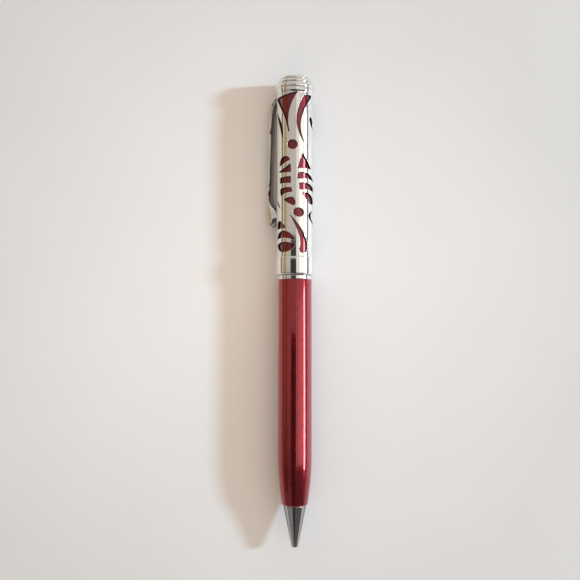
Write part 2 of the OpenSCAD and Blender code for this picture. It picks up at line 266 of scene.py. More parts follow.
def make_red(name, deep, bright):
    """Metallic lacquer whose flecks run from a deep red to a bright one, under a clear coat."""
    material, shader = new_finish(name, deep, 0.9, 0.2)
    flat = coordinates(material)
    flakes = add(material, "ShaderNodeTexVoronoi", Scale=FLECK_SIZE)
    join(material, flat, flakes.inputs["Vector"])
    sparkle = add(material, "ShaderNodeSeparateColor")
    join(material, flakes.outputs["Color"], sparkle.inputs["Color"])
    clouds = noise(material, flat, 700, 4)
    mixed = add(material, "ShaderNodeMath", operation="MULTIPLY_ADD")
    mixed.inputs[1].default_value = FLECK_SHARE
    join(material, sparkle.outputs["Red"], mixed.inputs[0])
    join(material, clouds, mixed.inputs[2])
    shade = spread(material, mixed.outputs["Value"], 0, 1, 0.4, 0.95)
    tint(material, shader, shade, deep, bright)
    dull(material, shader, mixed.outputs["Value"], 0.11, 0.2, 0.4, 0.95)
    dent(material, shader, sparkle.outputs["Green"], 6e-7, 0.25)
    shader.inputs["Coat Weight"].default_value = 1.0
    shader.inputs["Coat Roughness"].default_value = 0.03
    shader.inputs["Coat IOR"].default_value = 1.5
    return material


red_lacquer = make_red("red lacquer", (0.27, 0.015, 0.026), (0.41, 0.028, 0.041))
# Painted shade: the cap tube's lacquer is a darker copy of the barrel's, for the tube lying inside the sleeve.
cap_red_painted_dark = make_red("red lacquer of the cap tube in painted shade", (0.13, 0.008, 0.016), (0.25, 0.014, 0.027))
print("made", red_lacquer.name, "and", cap_red_painted_dark.name)

# %% [markdown]
# ## Finishes of the hidden parts
# Most of the mechanism is never seen, but it shows when the model is taken apart, so each part
# still gets its own honest finish: turned brass with tool rings, satin moulded plastic, drawn
# steel wire, black rubber, and a fibre rod dark with ink. Rings from turning run round the axis,
# so they are noise stretched flat along it.


# %% Brass, steel, plastic, rubber and ink
def make_brass():
    """Brass with rings from the lathe."""
    material, shader = new_finish("turned brass", (0.72, 0.52, 0.22), 1.0, 0.28)
    rings = noise(material, coordinates(material, (1, 40, 1)), 420, 3)
    tint(material, shader, rings, (0.60, 0.42, 0.16), (0.80, 0.60, 0.28))
    dull(material, shader, rings, 0.2, 0.4)
    dent(material, shader, rings, 1e-6, 0.5)
    return material


def make_steel(name, polish):
    """Steel with fine marks round the part."""
    material, shader = new_finish(name, (0.60, 0.61, 0.63), 1.0, polish)
    marks = noise(material, coordinates(material, (1, 18, 1)), 900, 4)
    tint(material, shader, marks, (0.50, 0.51, 0.53), (0.70, 0.70, 0.71))
    dull(material, shader, marks, polish, polish + 0.15)
    dent(material, shader, marks, 5e-7, 0.4)
    return material


def make_plastic(name, colour, dark, roughness):
    """Moulded plastic, rubber or fibre: faint clouds of colour and a fine grain."""
    material, shader = new_finish(name, colour, 0.0, roughness)
    grain = noise(material, coordinates(material), 5200, 3)
    clouds = noise(material, coordinates(material), 300, 3)
    tint(material, shader, clouds, dark, colour)
    dull(material, shader, grain, roughness - 0.06, roughness + 0.08)
    dent(material, shader, grain, 2e-6, 0.4)
    return material


brass = make_brass()
steel = make_steel("drawn steel", 0.2)
point_steel = make_steel("bright needle steel", 0.1)
carbide = make_steel("polished carbide", 0.06)
white_plastic = make_plastic("white acetal", (0.86, 0.86, 0.83), (0.78, 0.78, 0.75), 0.4)
black_rubber = make_plastic("black rubber", (0.03, 0.03, 0.032), (0.015, 0.015, 0.016), 0.7)
ink_fibre = make_plastic("inky fibre", (0.02, 0.02, 0.06), (0.008, 0.008, 0.02), 0.8)
print("there are", len(bpy.data.materials), "finishes so far")

# %% [markdown]
# ## Painting the working parts
# Parts that stay as they are in the working model only need the right finish. A table from
# material slot to finish covers them all in one loop.

# %% Finish every working part
finish_of_slot = {
    "red_lacquer": cap_red_painted_dark,
    "chrome_plate": chrome,
    "brass": brass,
    "white_plastic": white_plastic,
    "black_rubber": black_rubber,
    "steel": steel,
    "ink_fibre": ink_fibre,
    "carbide": carbide,
}
slot_of_part = {part["node"]: part["material_slot"] for part in frame["record"]["subparts"]}
for name, part in frame["nodes"].items():
    part.data.materials.clear()
    part.data.materials.append(finish_of_slot[slot_of_part[name]])
print(len(frame["nodes"]), "working parts painted")

# %% [markdown]
# ## Turned parts
# A lathe makes most of this pen, and the code can work the same way: draw half a section, and turn
# it. A Screw modifier would do it too, but a few lines of code give full control of how many steps
# a corner gets. No real edge is knife sharp, and on chrome each softened edge catches a
# thin line of light, so every corner of a section is rounded before it is turned.


# %% Sections and turning
def bend(start, pull, end, steps):
    """Points of a curve from start to end, pulled towards a third point."""
    points = []
    for i in range(steps + 1):
        t = i / steps
        near, middle, far = (1 - t) ** 2, 2 * t * (1 - t), t * t
        points.append(tuple(near * a + middle * b + far * c for a, b, c in zip(start, pull, end)))
    return points


def soften(corners, radius, steps=4):
    """Rounds each corner of a closed section. A corner may give its own radius as a third number."""
    points = []
    for i, corner in enumerate(corners):
        here = Vector(corner[:2])
        size = corner[2] if len(corner) > 2 else radius
        before = Vector(corners[i - 1][:2]) - here
        after = Vector(corners[(i + 1) % len(corners)][:2]) - here
        cut = min(size, before.length * 0.45, after.length * 0.45)
        if cut < 1e-4:
            points.append(tuple(here))
            continue
        points += bend(here + before.normalized() * cut, here, here + after.normalized() * cut, steps)
    return points


def piece_from(name, verts, faces, material, sharp=35):
    """A smooth-shaded object in the scene, with creases kept where faces meet steeply."""
    mesh = bpy.data.meshes.new(name)
    mesh.from_pydata(verts, [], faces)
    mesh.validate()
    mesh.shade_smooth()
    mesh.set_sharp_from_angle(angle=math.radians(sharp))
    mesh.materials.append(material)
    piece = bpy.data.objects.new(name, mesh)
    bpy.context.scene.collection.objects.link(piece)
    return piece


def turned(name, section, material, around=256):
    """Turns a closed section, drawn as (distance from the axis, height), into a solid ring."""
    count = len(section)
    verts = [place(r, 360 * k / around, h) for k in range(around) for r, h in section]
    faces = []
    for k in range(around):
        here, there = k * count, (k + 1) % around * count
        for i in range(count):
            after = (i + 1) % count
            faces.append((here + i, here + after, there + after, there + i))
    return piece_from(name, verts, faces, material)


def assign(piece, body, slot, *nodes):
    """The piece rides on a body and stands for the working parts. Its slot is not used."""
    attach(piece, body)
    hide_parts(*nodes)
    print(piece.name, "has", len(piece.data.polygons), "faces")


# %% [markdown]
# ## Lower barrel
# The barrel is one drawn tube. It swells from the nose in a smooth curve and then runs straight.
# Only a long curve with many points mirrors light without a kink, so the curve gets forty.

# %% Lower barrel
BARREL_WALL = 0.65
NOSE_HOLE = 2.9  # radius of the hole at the writing end
BUSH_BORE = 3.6  # radius of the bore that holds the brass bush
GRIP_TOP = 26  # height where the taper ends
barrel_r = reach_of("lower_barrel")
barrel_bore = barrel_r - BARREL_WALL
barrel_base, barrel_top = height_of("lower_barrel")
bush_base = barrel_base + 2.1
barrel_section = (
    [(3.72, barrel_base + 0.35), (3.6, barrel_base + 0.12), (3.4, barrel_base), (NOSE_HOLE, barrel_base)]
    + [(NOSE_HOLE, bush_base), (BUSH_BORE, bush_base), (BUSH_BORE, 20.5), (barrel_bore, 24)]
    + [(barrel_bore, barrel_top), (barrel_r - 0.12, barrel_top), (barrel_r - 0.03, barrel_top - 0.03)]
    + [(barrel_r, barrel_top - 0.12)]
    + bend((barrel_r, GRIP_TOP), (barrel_r, 19.5), (3.78, barrel_base + 0.5), 40)
)
lower_barrel = turned("barrel_shell", barrel_section, red_lacquer)
assign(lower_barrel, "barrel", "red_lacquer", "lower_barrel")

# %% [markdown]
# ## Nose cone
# A plated cone that screws into the barrel. Its bore steps down to a mouth just wide enough for
# the needle, and that inner step is where the spring pushes. The bore is turned as well, because
# the mouth is open and shows it.

# %% Nose cone
NEEDLE_HOLE = 0.63
THREAD_R, REFILL_BORE, SPRING_SEAT = 2.84, 2.1, 7.2
nose_top = barrel_base - 0.01
nose_section = soften(
    [(NEEDLE_HOLE, 0), (0.9, 0, 0.12), (3.25, barrel_base - 0.1, 0.1), (3.2, nose_top), (THREAD_R, nose_top)]
    + [(THREAD_R, 19.5), (REFILL_BORE, 19.5), (REFILL_BORE, 9), (1.95, SPRING_SEAT), (1.3, SPRING_SEAT)]
    + [(1.3, 3.9), (NEEDLE_HOLE, 2.4)],
    0.03,
)
nose_cone = turned("nose_cone_shell", nose_section, nose_chrome_painted_dark)
assign(nose_cone, "barrel", "chrome_plate", "nose_cone")

# %% [markdown]
# ## Thin ring and centre band
# Two plain rings hide the joint where the cap turns. Their rounded lips are what the eye reads as
# a dark line between the parts: a crease that mirrors both sides of itself.

# %% Rings at the joint
ring_low, ring_high = height_of("barrel_ring")
ring_r = reach_of("barrel_ring")
ring_section = soften(
    [(barrel_bore, ring_low), (ring_r, ring_low), (ring_r, ring_high), (barrel_bore, ring_high)], 0.22, 6
)
barrel_ring = turned("thin_ring", ring_section, chrome)
assign(barrel_ring, "barrel", "chrome_plate", "barrel_ring")

band_low, band_high = height_of("centre_band")
band_r = reach_of("centre_band")
BAND_HOLE, CAP_SEAT = 4.36, 4.91  # radii of the hole, and of the seat for the cap's red tube
seat_floor = band_low + 0.99
band_section = soften(
    [(BAND_HOLE, band_low), (band_r, band_low, 0.6), (band_r, band_high, 0.14), (CAP_SEAT, band_high)]
    + [(CAP_SEAT, seat_floor), (BAND_HOLE, seat_floor)],
    0.02,
    8,
)
centre_band = turned("band_shell", band_section, chrome)
assign(centre_band, "cap", "chrome_plate", "centre_band")

# %% [markdown]
# ## Crown
# The end of the cap steps in through three rounded beads to a small flat. The grooves between the
# beads stay tight, because that is where the dark rings come from.

# %% Crown
joint = height_of("filigree_sleeve")[1] + 0.03
crown_section = (
    [(0.0, joint - 1.6), (4.88, joint - 1.6), (4.88, joint)]
    + bend((5.45, joint), (5.76, joint + 0.02), (5.70, joint + 0.7), 10)
    + bend((5.66, joint + 1.05), (5.55, joint + 1.5), (4.98, joint + 1.55), 10)
    + bend((5.0, joint + 1.62), (5.42, joint + 1.7), (5.22, joint + 2.25), 10)
    + bend((5.14, joint + 2.48), (4.95, joint + 2.64), (4.28, joint + 2.66), 10)
    + bend((4.3, joint + 2.73), (4.75, joint + 2.8), (4.6, joint + 3.2), 10)
    + bend((4.55, joint + 3.45), (4.2, pen_length), (3.0, pen_length), 12)
    + [(0.0, pen_length)]
)
crown = turned("crown_shell", crown_section, chrome)
assign(crown, "cap", "chrome_plate", "crown")

# %% [markdown]
# ## Pierced sleeve
# The chrome tube is cut through with curved openings, and the same pattern repeats after half a
# turn. Cutting a finished tube with booleans leaves long thin faces, and a mirror shows every one.
# So the sleeve is made as sheet metal would be: it is laid flat, the openings are cut from the
# flat sheet, their edges are softened, and only then is the sheet rolled up.
#
# Each opening is a list of curved sides. A side is where it starts and the point it bends towards,
# as degrees round the pen and height. Ovals have a centre, a half width, a half height and a tilt.

# %% The pattern of openings
OPENINGS = [
    [
        ((-79, 130.5), (-25, 131)), ((9, 131.9), (-33, 126.2)),
        ((-18, 120.3), (-20, 119.6)), ((-23, 120.4), (-32, 126)),
    ],
    [((30, 130.9), (48, 131.4)), ((64, 131.1), (-13, 123.5)), ((36, 115.9), (-25, 123.4))],
    [((-91, 127.8), (-24, 122.5)), ((-45, 117.7), (-49, 122.2))],
    [((50, 124.1), (56, 125.5)), ((65, 124.2), (78, 122.6)), ((72, 121.3), (56, 122))],
    [((-56, 110), (-54, 112.6)), ((-36, 112.9), (-20, 113)), ((-15, 111.8), (-34, 110.9))],
    [((-62, 108.5), (-34, 109.2)), ((-15, 110.6), (-12, 109.6)), ((-13, 108.2), (-38, 107.9))],
    [
        ((-54, 106.7), (-33, 106.9)), ((-13, 106.9), (-13, 105.9)),
        ((-13, 104.9), (-33, 105.1)), ((-54, 105), (-54, 105.8)),
    ],
    [
        ((-53, 103.2), (-42, 104)), ((-12, 103.6), (-9, 103.4)),
        ((-9, 102.3), (-36, 102.3)), ((-48, 101.2), (-54, 102)),
    ],
    [((-38, 100.1), (-22, 101)), ((-6, 100.8), (2, 99.8)), ((1, 98.9), (-4, 98)), ((-12, 98.7), (-26, 99.2))],
    [((24, 113.8), (44, 111.2)), ((60, 109.2), (34, 109.6)), ((7, 109.2), (12, 111.4))],
    [((9, 107.9), (50, 108.9)), ((78, 105.6), (50, 106.9)), ((8, 106.1), (5, 107))],
    [
        ((12, 104.9), (50, 105.6)), ((78, 103.7), (80, 102.6)),
        ((72, 102.7), (48, 103.6)), ((16, 103), (11, 103.6)),
    ],
    [((22, 102.1), (48, 103)), ((76, 100.2), (78, 98.9)), ((60, 99), (38, 99.4))],
    [
        ((-17, 95.9), (36, 90.4)), ((41, 86.9), (42, 84.7)), ((29, 84.7), (13, 84.5)),
        ((13, 85.8), (18, 87.2)), ((15, 88.8), (10, 91.2)),
    ],
    [((-82, 100.6), (-60, 99.8)), ((-51, 97.6), (-66, 98.6))],
    [((-70, 91.6), (-70, 94.4)), ((-54, 94.1), (-42, 93.6)), ((-28, 91.9), (-48, 91.9))],
    [((-70, 88.7), (-66, 91.3)), ((-34, 91.1), (-12, 90.8)), ((-1, 88.3), (-36, 89.6))],
    [((-70, 87), (-44, 88.7)), ((1, 87.1), (-10, 85)), ((-34, 84.9), (-60, 84.8))],
    [((72, 97.3), (14, 95.8)), ((84, 92.6), (38, 95.6))],
]
OVALS = [(-8, 116.2, 16, 1.4, -6), (11, 96.4, 17, 1.3, -8)]

sleeve_r = 5.45
SLEEVE_WALL = 0.5
sleeve_low, sleeve_high = height_of("filigree_sleeve")
ARC = math.radians(1) * sleeve_r  # millimetres of sheet in one degree
print(len(OPENINGS) + len(OVALS), "openings in half a turn of the sleeve")

# %% [markdown]
# The outline of an opening is walked at an even pace, so that its rim has evenly sized faces. A
# sharp tip on a real part has a small radius from the tool, and the even walk followed by a little
# smoothing gives one for free.


# %% Outlines on the flat sheet
RIM_GAP = 0.11  # between two points of a rim
OVAL_POINTS = 72


def even(points, gap):
    """Walks a closed outline and sets points about one gap apart."""
    closed = [Vector(p) for p in points] + [Vector(points[0])]
    length = sum((b - a).length for a, b in zip(closed, closed[1:]))
    count = max(12, round(length / gap))
    step, walked, target, result = length / count, 0.0, 0.0, []
    for a, b in zip(closed, closed[1:]):
        piece = (b - a).length
        while len(result) < count and target <= walked + piece + 1e-9:
            result.append(a.lerp(b, (target - walked) / piece if piece else 0))
            target += step
        walked += piece
    return result


def relax(points, passes):
    """Moves every point half way to the middle of its neighbours, a few times."""
    for _ in range(passes):
        behind, ahead = points[-1:] + points[:-1], points[1:] + points[:1]
        points = [(a + b) * 0.25 + p * 0.5 for a, p, b in zip(behind, points, ahead)]
    return points


def flat_outline(sides):
    """Outline of an opening on the flat sheet, from its curved sides."""
    walk = []
    for i, (start, pull) in enumerate(sides):
        walk += bend(start, pull, sides[(i + 1) % len(sides)][0], 24)[:-1]
    return relax(even([(a * ARC, h) for a, h in walk], RIM_GAP), 2)


def flat_oval(angle, height, half_width, half_height, tilt):
    """Outline of an oval. Its half width is in degrees round the pen."""
    lean, centre = math.radians(tilt), Vector((angle * ARC, height))
    points = []
    for k in range(OVAL_POINTS):
        turn = k * math.tau / OVAL_POINTS
        x, y = half_width * ARC * math.cos(turn), half_height * math.sin(turn)
        sideways = x * math.cos(lean) - y * math.sin(lean)
        upwards = x * math.sin(lean) + y * math.cos(lean)
        points.append(centre + Vector((sideways, upwards)))
    return points


def counter_clockwise(points):
    """The same outline, in the direction that the triangulation expects."""
    area = sum(a.x * b.y - b.x * a.y for a, b in zip(points, points[1:] + points[:1]))
    return points if area > 0 else points[::-1]


outlines = [counter_clockwise(flat_outline(sides)) for sides in OPENINGS]
outlines += [counter_clockwise(flat_oval(*oval)) for oval in OVALS]
print("their rims have", sum(map(len, outlines)), "points")

# %% [markdown]
# The sheet between the openings is filled by a constrained triangulation. Rows of extra points
# keep the triangles small, so the rolled sheet is truly round. The rim of an opening is a strip of
# rings: down the cut wall, and round a soft edge that ends outside the opening's outline.

# %% Fill the sheet between the openings
SOFT_EDGE = 0.09  # radius of an opening's edge
RIM_STEPS = 4
SEAM = -93.5  # degrees, a line that no opening crosses
COLUMNS = 72  # columns of points in half a turn
KEEP_OFF = 0.07  # how far the extra points stay from a rim
BOX_MARGIN = 0.12


def outwards(points):
    """Direction away from the opening at each point of its outline."""
    result = []
    for i in range(len(points)):
        along = points[(i + 1) % len(points)] - points[i - 1]
        result.append(Vector((along.y, -along.x)).normalized())
    return result


def grown(points, amount):
    """An outline moved away from its opening."""
    return [p + n * amount for p, n in zip(points, outwards(points))]


def inside(point, outline):
    """Whether a point is in an outline: a line from it to one side crosses an odd number of edges."""
    odd = False
    for a, b in zip(outline, outline[1:] + outline[:1]):
        if (a.y > point.y) != (b.y > point.y) and point.x < (b.x - a.x) * (point.y - a.y) / (b.y - a.y) + a.x:
            odd = not odd
    return odd


def boxed(outline, margin):
    """Box round an outline, as left, right, low and high."""
    xs, ys = [p.x for p in outline], [p.y for p in outline]
    return min(xs) - margin, max(xs) + margin, min(ys) - margin, max(ys) + margin


def boxes_meet(a, b):
    return a[0] < b[1] and b[0] < a[1] and a[2] < b[3] and b[2] < a[3]


def covered(point, boxes, outlines):
    """Whether a point is in one of the outlines. Their boxes rule most of them out quickly."""
    for (left, right, low, high), outline in zip(boxes, outlines):
        if left < point.x < right and low < point.y < high and inside(point, outline):
            return True
    return False


def fill_sheet(holes, rows):
    """Triangles of a half sheet with holes. Returns its points and its triangles."""
    left, right = SEAM * ARC, (SEAM + 180) * ARC
    boxes = [boxed(h, BOX_MARGIN) for h in holes]
    near = [grown(h, KEEP_OFF) for h in holes]
    points, edges = [], []
    for hole in holes:
        start = len(points)
        points += hole
        edges += [(start + i, start + (i + 1) % len(hole)) for i in range(len(hole))]
    for j, y in enumerate(rows):
        for i in range(COLUMNS + 1):
            shift = 0.5 if j % 2 and 0 < i < COLUMNS else 0.0
            p = Vector((left + (right - left) * (i + shift) / COLUMNS, y))
            if not covered(p, boxes, near):
                points.append(p)
    found = delaunay_2d_cdt(points, edges, [], 0, 1e-7)
    spots, triangles = found[0], []
    for a, b, c in found[2]:
        if not covered((spots[a] + spots[b] + spots[c]) / 3, boxes, holes):
            triangles.append((a, b, c))
    return spots, triangles


# %% [markdown]
# Rolling the sheet up gives each point a direction to face as well as a place. Chrome shows the
# smallest error in shading, so those directions are written into the mesh instead of being
# averaged from the triangles: straight out on the sheet, and turning over the soft edge.


# %% Roll up the sleeve
COLLAR_FOOT = joint - 1.55
COLLAR_RISE = 0.25
COLLAR_RAMP = 0.6
END_ROUND = 0.12  # radius of the sleeve's ends


def collar(height):
    """Radius of the sleeve: straight, then a small raised collar under the crown."""
    rise = min(max((height - COLLAR_FOOT) / COLLAR_RAMP, 0), 1)
    return sleeve_r + COLLAR_RISE * rise * rise * (3 - 2 * rise)


def lip(height):
    """How far the sleeve's ends are rounded off."""
    edge = min(height - sleeve_low, sleeve_high - height)
    if edge >= END_ROUND:
        return 0.0
    return END_ROUND - math.sqrt(max(0.0, END_ROUND**2 - (END_ROUND - edge) ** 2))


def sheet_radius(height):
    return collar(height) - lip(height)


def rolled_direction(x, around, out, up):
    """A direction on the flat sheet, turned with the sheet as it is rolled up."""
    turn = math.radians(x / ARC)
    sideways = Vector((math.cos(turn), 0, -math.sin(turn)))
    outward = Vector((math.sin(turn), 0, math.cos(turn)))
    return (sideways * around + outward * out + Vector((0, up, 0))).normalized()


def end_rows(low, high):
    """Heights of the close rows that round off a tube's two ends."""
    fine = [0, 0.008, 0.03, 0.065, END_ROUND]
    return [low + d for d in fine] + [high - d for d in reversed(fine)]


ROW = 0.4
straight_rows = [sleeve_low + ROW + ROW * i for i in range(int((joint - 1.9 - sleeve_low) / ROW))]
collar_rows = [COLLAR_FOOT + 0.06 * i for i in range(11)] + [joint - 0.7, joint - 0.4]
rows = sorted({round(v, 4) for v in end_rows(sleeve_low, sleeve_high) + straight_rows + collar_rows})
print("the sheet has", len(rows), "rows of points")

# %% [markdown]
# The clip leans to one side of the pen. The working model knows where its hinge is, and the angle
# and the height of the clip follow from that. Nothing has to be measured twice.

# %% Where the clip is
hinge = next(j for j in frame["joints"] if j["name"] == "clip_flex")
hinge_at = Vector(hinge["pos_m"])
clip_angle = math.degrees(math.atan2(hinge_at.x - AXIS_X, hinge_at.z - AXIS_Z))
hinge_out = math.hypot(hinge_at.x - AXIS_X, hinge_at.z - AXIS_Z) / MM
hinge_height = (hinge_at.y - TIP_Y) / MM
CLIP_WIDTH = 3.2
SLOT_PLAY = 0.15  # gap on each side of the clip's root
SLOT_REACH = 0.75  # the slot's half height
print("clip at %.1f degrees, hinge %.2f mm out and %.1f mm up" % (clip_angle, hinge_out, hinge_height))

# %% [markdown]
# The slot for the clip's root is one more opening, a small rectangle under the crown. It is on
# one side only, so the two halves of a sheet differ there. A punched slot has rounded corners.


# %% The slot for the clip's root
def clip_slot(low, high):
    """Outline of the slot, on the half of the sheet where the clip is."""
    half, turn = CLIP_WIDTH / 2 + SLOT_PLAY, (clip_angle - 180 - SEAM) % 360 + SEAM
    corners = soften([(-half, low), (half, low), (half, high), (-half, high)], 0.12, 3)
    walk = relax(even(corners, RIM_GAP), 1)
    return counter_clockwise([Vector((turn * ARC, 0)) + Vector(c) for c in walk])


# %% [markdown]
# A tube is gathered from two half sheets. Each half brings its outside, its inside, the rims of
# its openings and its flat ends, and the same builder serves the pierced sleeve and the red tube.


# %% Rolled tubes
class RolledTube:
    """Gathers the faces of a pierced tube, with the direction that each point faces."""

    def __init__(self, bore, low, high, rows, outside):
        self.bore, self.low, self.high, self.rows, self.outside = bore, low, high, rows, outside
        self.verts, self.faces, self.directions, self.dark = [], [], [], []

    def point(self, x, height, radius, direction):
        """Rolls one point of the sheet up, and remembers which way it faces."""
        self.verts.append(place(radius, x / ARC, height))
        self.directions.append(direction)
        return len(self.verts) - 1

    def slope(self, height):
        """Which way the outside faces at a height, as (outwards, upwards)."""
        below, above = max(height - 0.01, self.low), min(height + 0.01, self.high)
        rise = (self.outside(above) - self.outside(below)) / (above - below)
        return Vector((1, -rise)).normalized()

    def half(self, shift, holes):
        """Half a turn, rolled so that it starts at its own place round the pen."""
        spots, triangles = fill_sheet([grown(h, SOFT_EDGE) for h in holes], self.rows)
        skin = []
        for p in spots:
            facing = rolled_direction(p.x + shift, 0, *self.slope(p.y))
            skin.append(self.point(p.x + shift, p.y, self.outside(p.y), facing))
        self.faces += [(skin[a], skin[b], skin[c]) for a, b, c in triangles]
        spots, triangles = fill_sheet(holes, self.rows)
        skin = []
        for p in spots:
            facing = rolled_direction(p.x + shift, 0, -1, 0)
            skin.append(self.point(p.x + shift, p.y, self.bore, facing))
        self.faces += [(skin[a], skin[c], skin[b]) for a, b, c in triangles]
        for hole in holes:
            self.rim(shift, hole, [other for other in holes if other is not hole])
        self.end(shift, self.low, 1)
        self.end(shift, self.high, -1)

    def rim(self, shift, hole, others):
        """Cut wall and soft edge of one opening, where no other opening runs into it."""
        loops = []
        for k in range(-2, RIM_STEPS + 1):
            a = math.pi / 2 * max(k, 0) / RIM_STEPS
            loop = []
            for p, n in zip(hole, outwards(hole)):
                q = p + n * SOFT_EDGE * (1 - math.cos(a))
                out = self.bore if k == -2 else self.outside(q.y) - SOFT_EDGE * (1 - math.sin(a))
                facing = rolled_direction(q.x + shift, -n.x * math.cos(a), math.sin(a), -n.y * math.cos(a))
                loop.append(self.point(q.x + shift, q.y, out, facing))
            loops.append(loop)
        near = [o for o in others if boxes_meet(boxed(o, 0), boxed(hole, 0))]
        for i, p in enumerate(hole):
            if any(inside(p, other) for other in near):
                continue
            k = (i + 1) % len(hole)
            for lower, upper in zip(loops, loops[1:]):
                # The first strip is the cut wall, which gets the nearly black finish: painted shade.
                if lower is loops[0]:
                    self.dark.append(len(self.faces))
                self.faces.append((lower[i], upper[i], upper[k], lower[k]))

    def end(self, shift, height, turn):
        """Flat ring at an end of the tube."""
        spots = [(SEAM + 180 * i / COLUMNS) * ARC + shift for i in range(COLUMNS + 1)]
        facing = Vector((0, -turn, 0))
        inner = [self.point(x, height, self.bore, facing) for x in spots]
        outer = [self.point(x, height, self.outside(height), facing) for x in spots]
        for i in range(COLUMNS):
            ring = (inner[i], inner[i + 1], outer[i + 1], outer[i])
            self.faces.append(ring if turn > 0 else ring[::-1])

    def piece(self, name, material):
        """The finished object, shaded by the directions that were gathered."""
        mesh = bpy.data.meshes.new(name)
        mesh.from_pydata(self.verts, [], self.faces)
        mesh.shade_smooth()
        mesh.normals_split_custom_set_from_vertices(self.directions)
        mesh.materials.append(material)
        # The cut walls take the second finish, nearly black: painted shade.
        mesh.materials.append(shaded_wall_finish)
        for i in self.dark:
            mesh.polygons[i].material_index = 1
        piece = bpy.data.objects.new(name, mesh)
        bpy.context.scene.collection.objects.link(piece)
        return piece


# %% [markdown]
# With the pattern, the rows and the builder in place, the sleeve itself takes only a few lines:
# one half as drawn, and the same half again on the far side, with the clip's slot added.

# %% Sleeve
sleeve_tube = RolledTube(sleeve_r - SLEEVE_WALL, sleeve_low, sleeve_high, rows, sheet_radius)
sleeve_tube.half(0, outlines)
sleeve_tube.half(180 * ARC, outlines + [clip_slot(hinge_height - SLOT_REACH, hinge_height + SLOT_REACH)])
sleeve = sleeve_tube.piece("pierced_sleeve", chrome)
assign(sleeve, "cap", "chrome_plate", "filigree_sleeve")

# %% [markdown]
# ## Red cap tube
# A plain lacquered tube inside the sleeve, seen only through the openings. Its lacquer is a darker
# copy of the barrel's, painted shade for its place inside the sleeve. Its round highlights tell the
# eye that it carries on behind the chrome. It needs one slot, for the clip's root.

# %% Cap tube
TUBE_WALL = 0.55
TUBE_ROW = 0.6
tube_low, tube_high = height_of("cap_tube")
tube_r = reach_of("cap_tube")
plain_rows = [tube_low + TUBE_ROW + TUBE_ROW * i for i in range(int((tube_high - tube_low - 0.8) / TUBE_ROW))]
tube_rows = sorted(end_rows(tube_low, tube_high) + plain_rows)
red_tube = RolledTube(tube_r - TUBE_WALL, tube_low, tube_high, tube_rows, lambda height: tube_r)
red_tube.half(0, [])
red_tube.half(180 * ARC, [clip_slot(hinge_height - SLOT_REACH, tube_high - 0.2)])
cap_tube = red_tube.piece("inner_red_tube", cap_red_painted_dark)
assign(cap_tube, "cap", "red_lacquer", "cap_tube")

# %% [markdown]
# ## Pocket clip
# The clip is one stamped arm. Seen from the side it comes over a rounded shoulder, runs straight,
# and swells inwards to a foot that rests on the sleeve. Seen end on, its section is a rounded bar
# whose outer face is curved like the pen. Only the side view is listed: two lines, one for
# the outer face and one for the inner face.

# %% Side view of the clip
CLIP_OUT = 9.15
CLIP_THICK = 1.05
CLIP_LEAN = 0.65  # the arm stands out this much further at its foot
SHOULDER = 124.5  # height where the shoulder runs into the straight arm
foot_in, arm_out, arm_in = CLIP_OUT - CLIP_THICK, CLIP_OUT - CLIP_LEAN, CLIP_OUT - CLIP_THICK - CLIP_LEAN
root_out, root_in = (hinge_out + 0.05, hinge_height + 0.5), (hinge_out, hinge_height - 0.5)
outer_line = (
    bend(root_out, (arm_out - 0.02, hinge_height + 0.25), (arm_out - 0.02, SHOULDER), 28)
    + bend((arm_out, 123.5), (arm_out + 0.3, 111.5), (CLIP_OUT - 0.02, 99), 24)
    + bend((CLIP_OUT, 98), (CLIP_OUT, 93.6), (7.5, 93.12), 20)
)
inner_line = (
    bend(root_in, (arm_in - 0.15, 129.3), (arm_in, SHOULDER), 28)
    + bend((arm_in, 123.5), (arm_in + 0.3, 113), (foot_in, 102.5), 24)
    + bend((foot_in, 101.8), (foot_in, 99.8), (6.5, 98.4), 9)
    + bend((6.15, 97.7), (4.51, 95.2), (7.2, 93.2), 14)
)


def along(line, count):
    """Points spaced evenly along a line."""
    spots = [Vector(p) for p in line]
    reach = [0.0]
    for a, b in zip(spots, spots[1:]):
        reach.append(reach[-1] + (b - a).length)
    result, k = [], 0
    for i in range(count + 1):
        target = reach[-1] * i / count
        while k < len(spots) - 2 and reach[k + 1] < target:
            k += 1
        gap = reach[k + 1] - reach[k]
        result.append(spots[k].lerp(spots[k + 1], (target - reach[k]) / gap if gap > 1e-9 else 0))
    return result


print("the clip's arm stands %.2f to %.2f mm out" % (arm_out, CLIP_OUT))

# %% [markdown]
# Sweeping the section along the arm gives a clip whose edges carry the light unbroken. The side
# towards the pen is bevelled, as a stamped arm is when its burr is taken off. At the foot's end
# the section narrows in a quarter circle, so the tip is round.

# %% Sweep the clip
STATIONS = 150
AROUND = 40
BEVEL_DEPTH = 0.42  # share of the thickness
BEVEL_WIDTH = 0.32  # share of the half width
TIP_WIDTH = 0.72  # width of the tip, as a share of the arm's
TIP_STATIONS = 7
outer_points, inner_points = along(outer_line, STATIONS), along(inner_line, STATIONS)


def clip_vertex(sideways, out, height):
    """A point beside the clip's middle plane. The outer face bends round the pen's axis."""
    away = math.hypot(out, sideways)
    out = out - (away - out) * min(max((out - 6.5) / 1.5, 0), 1)
    turn = math.radians(clip_angle)
    across = Vector((math.cos(turn), 0, -math.sin(turn)))
    return place(out, clip_angle, height) + across * sideways * MM


def bar_section(step):
    """A point of the section: a share of the half width, and one of the thickness."""
    angle = math.tau * (step + 0.5) / AROUND
    side = math.copysign(0.82, math.cos(angle)) + 0.18 * math.cos(angle)
    depth = 0.5 + 0.5 * math.sin(angle)
    bevel = max(0.0, 1 - depth / BEVEL_DEPTH)
    return side * (1 - BEVEL_WIDTH * bevel), depth


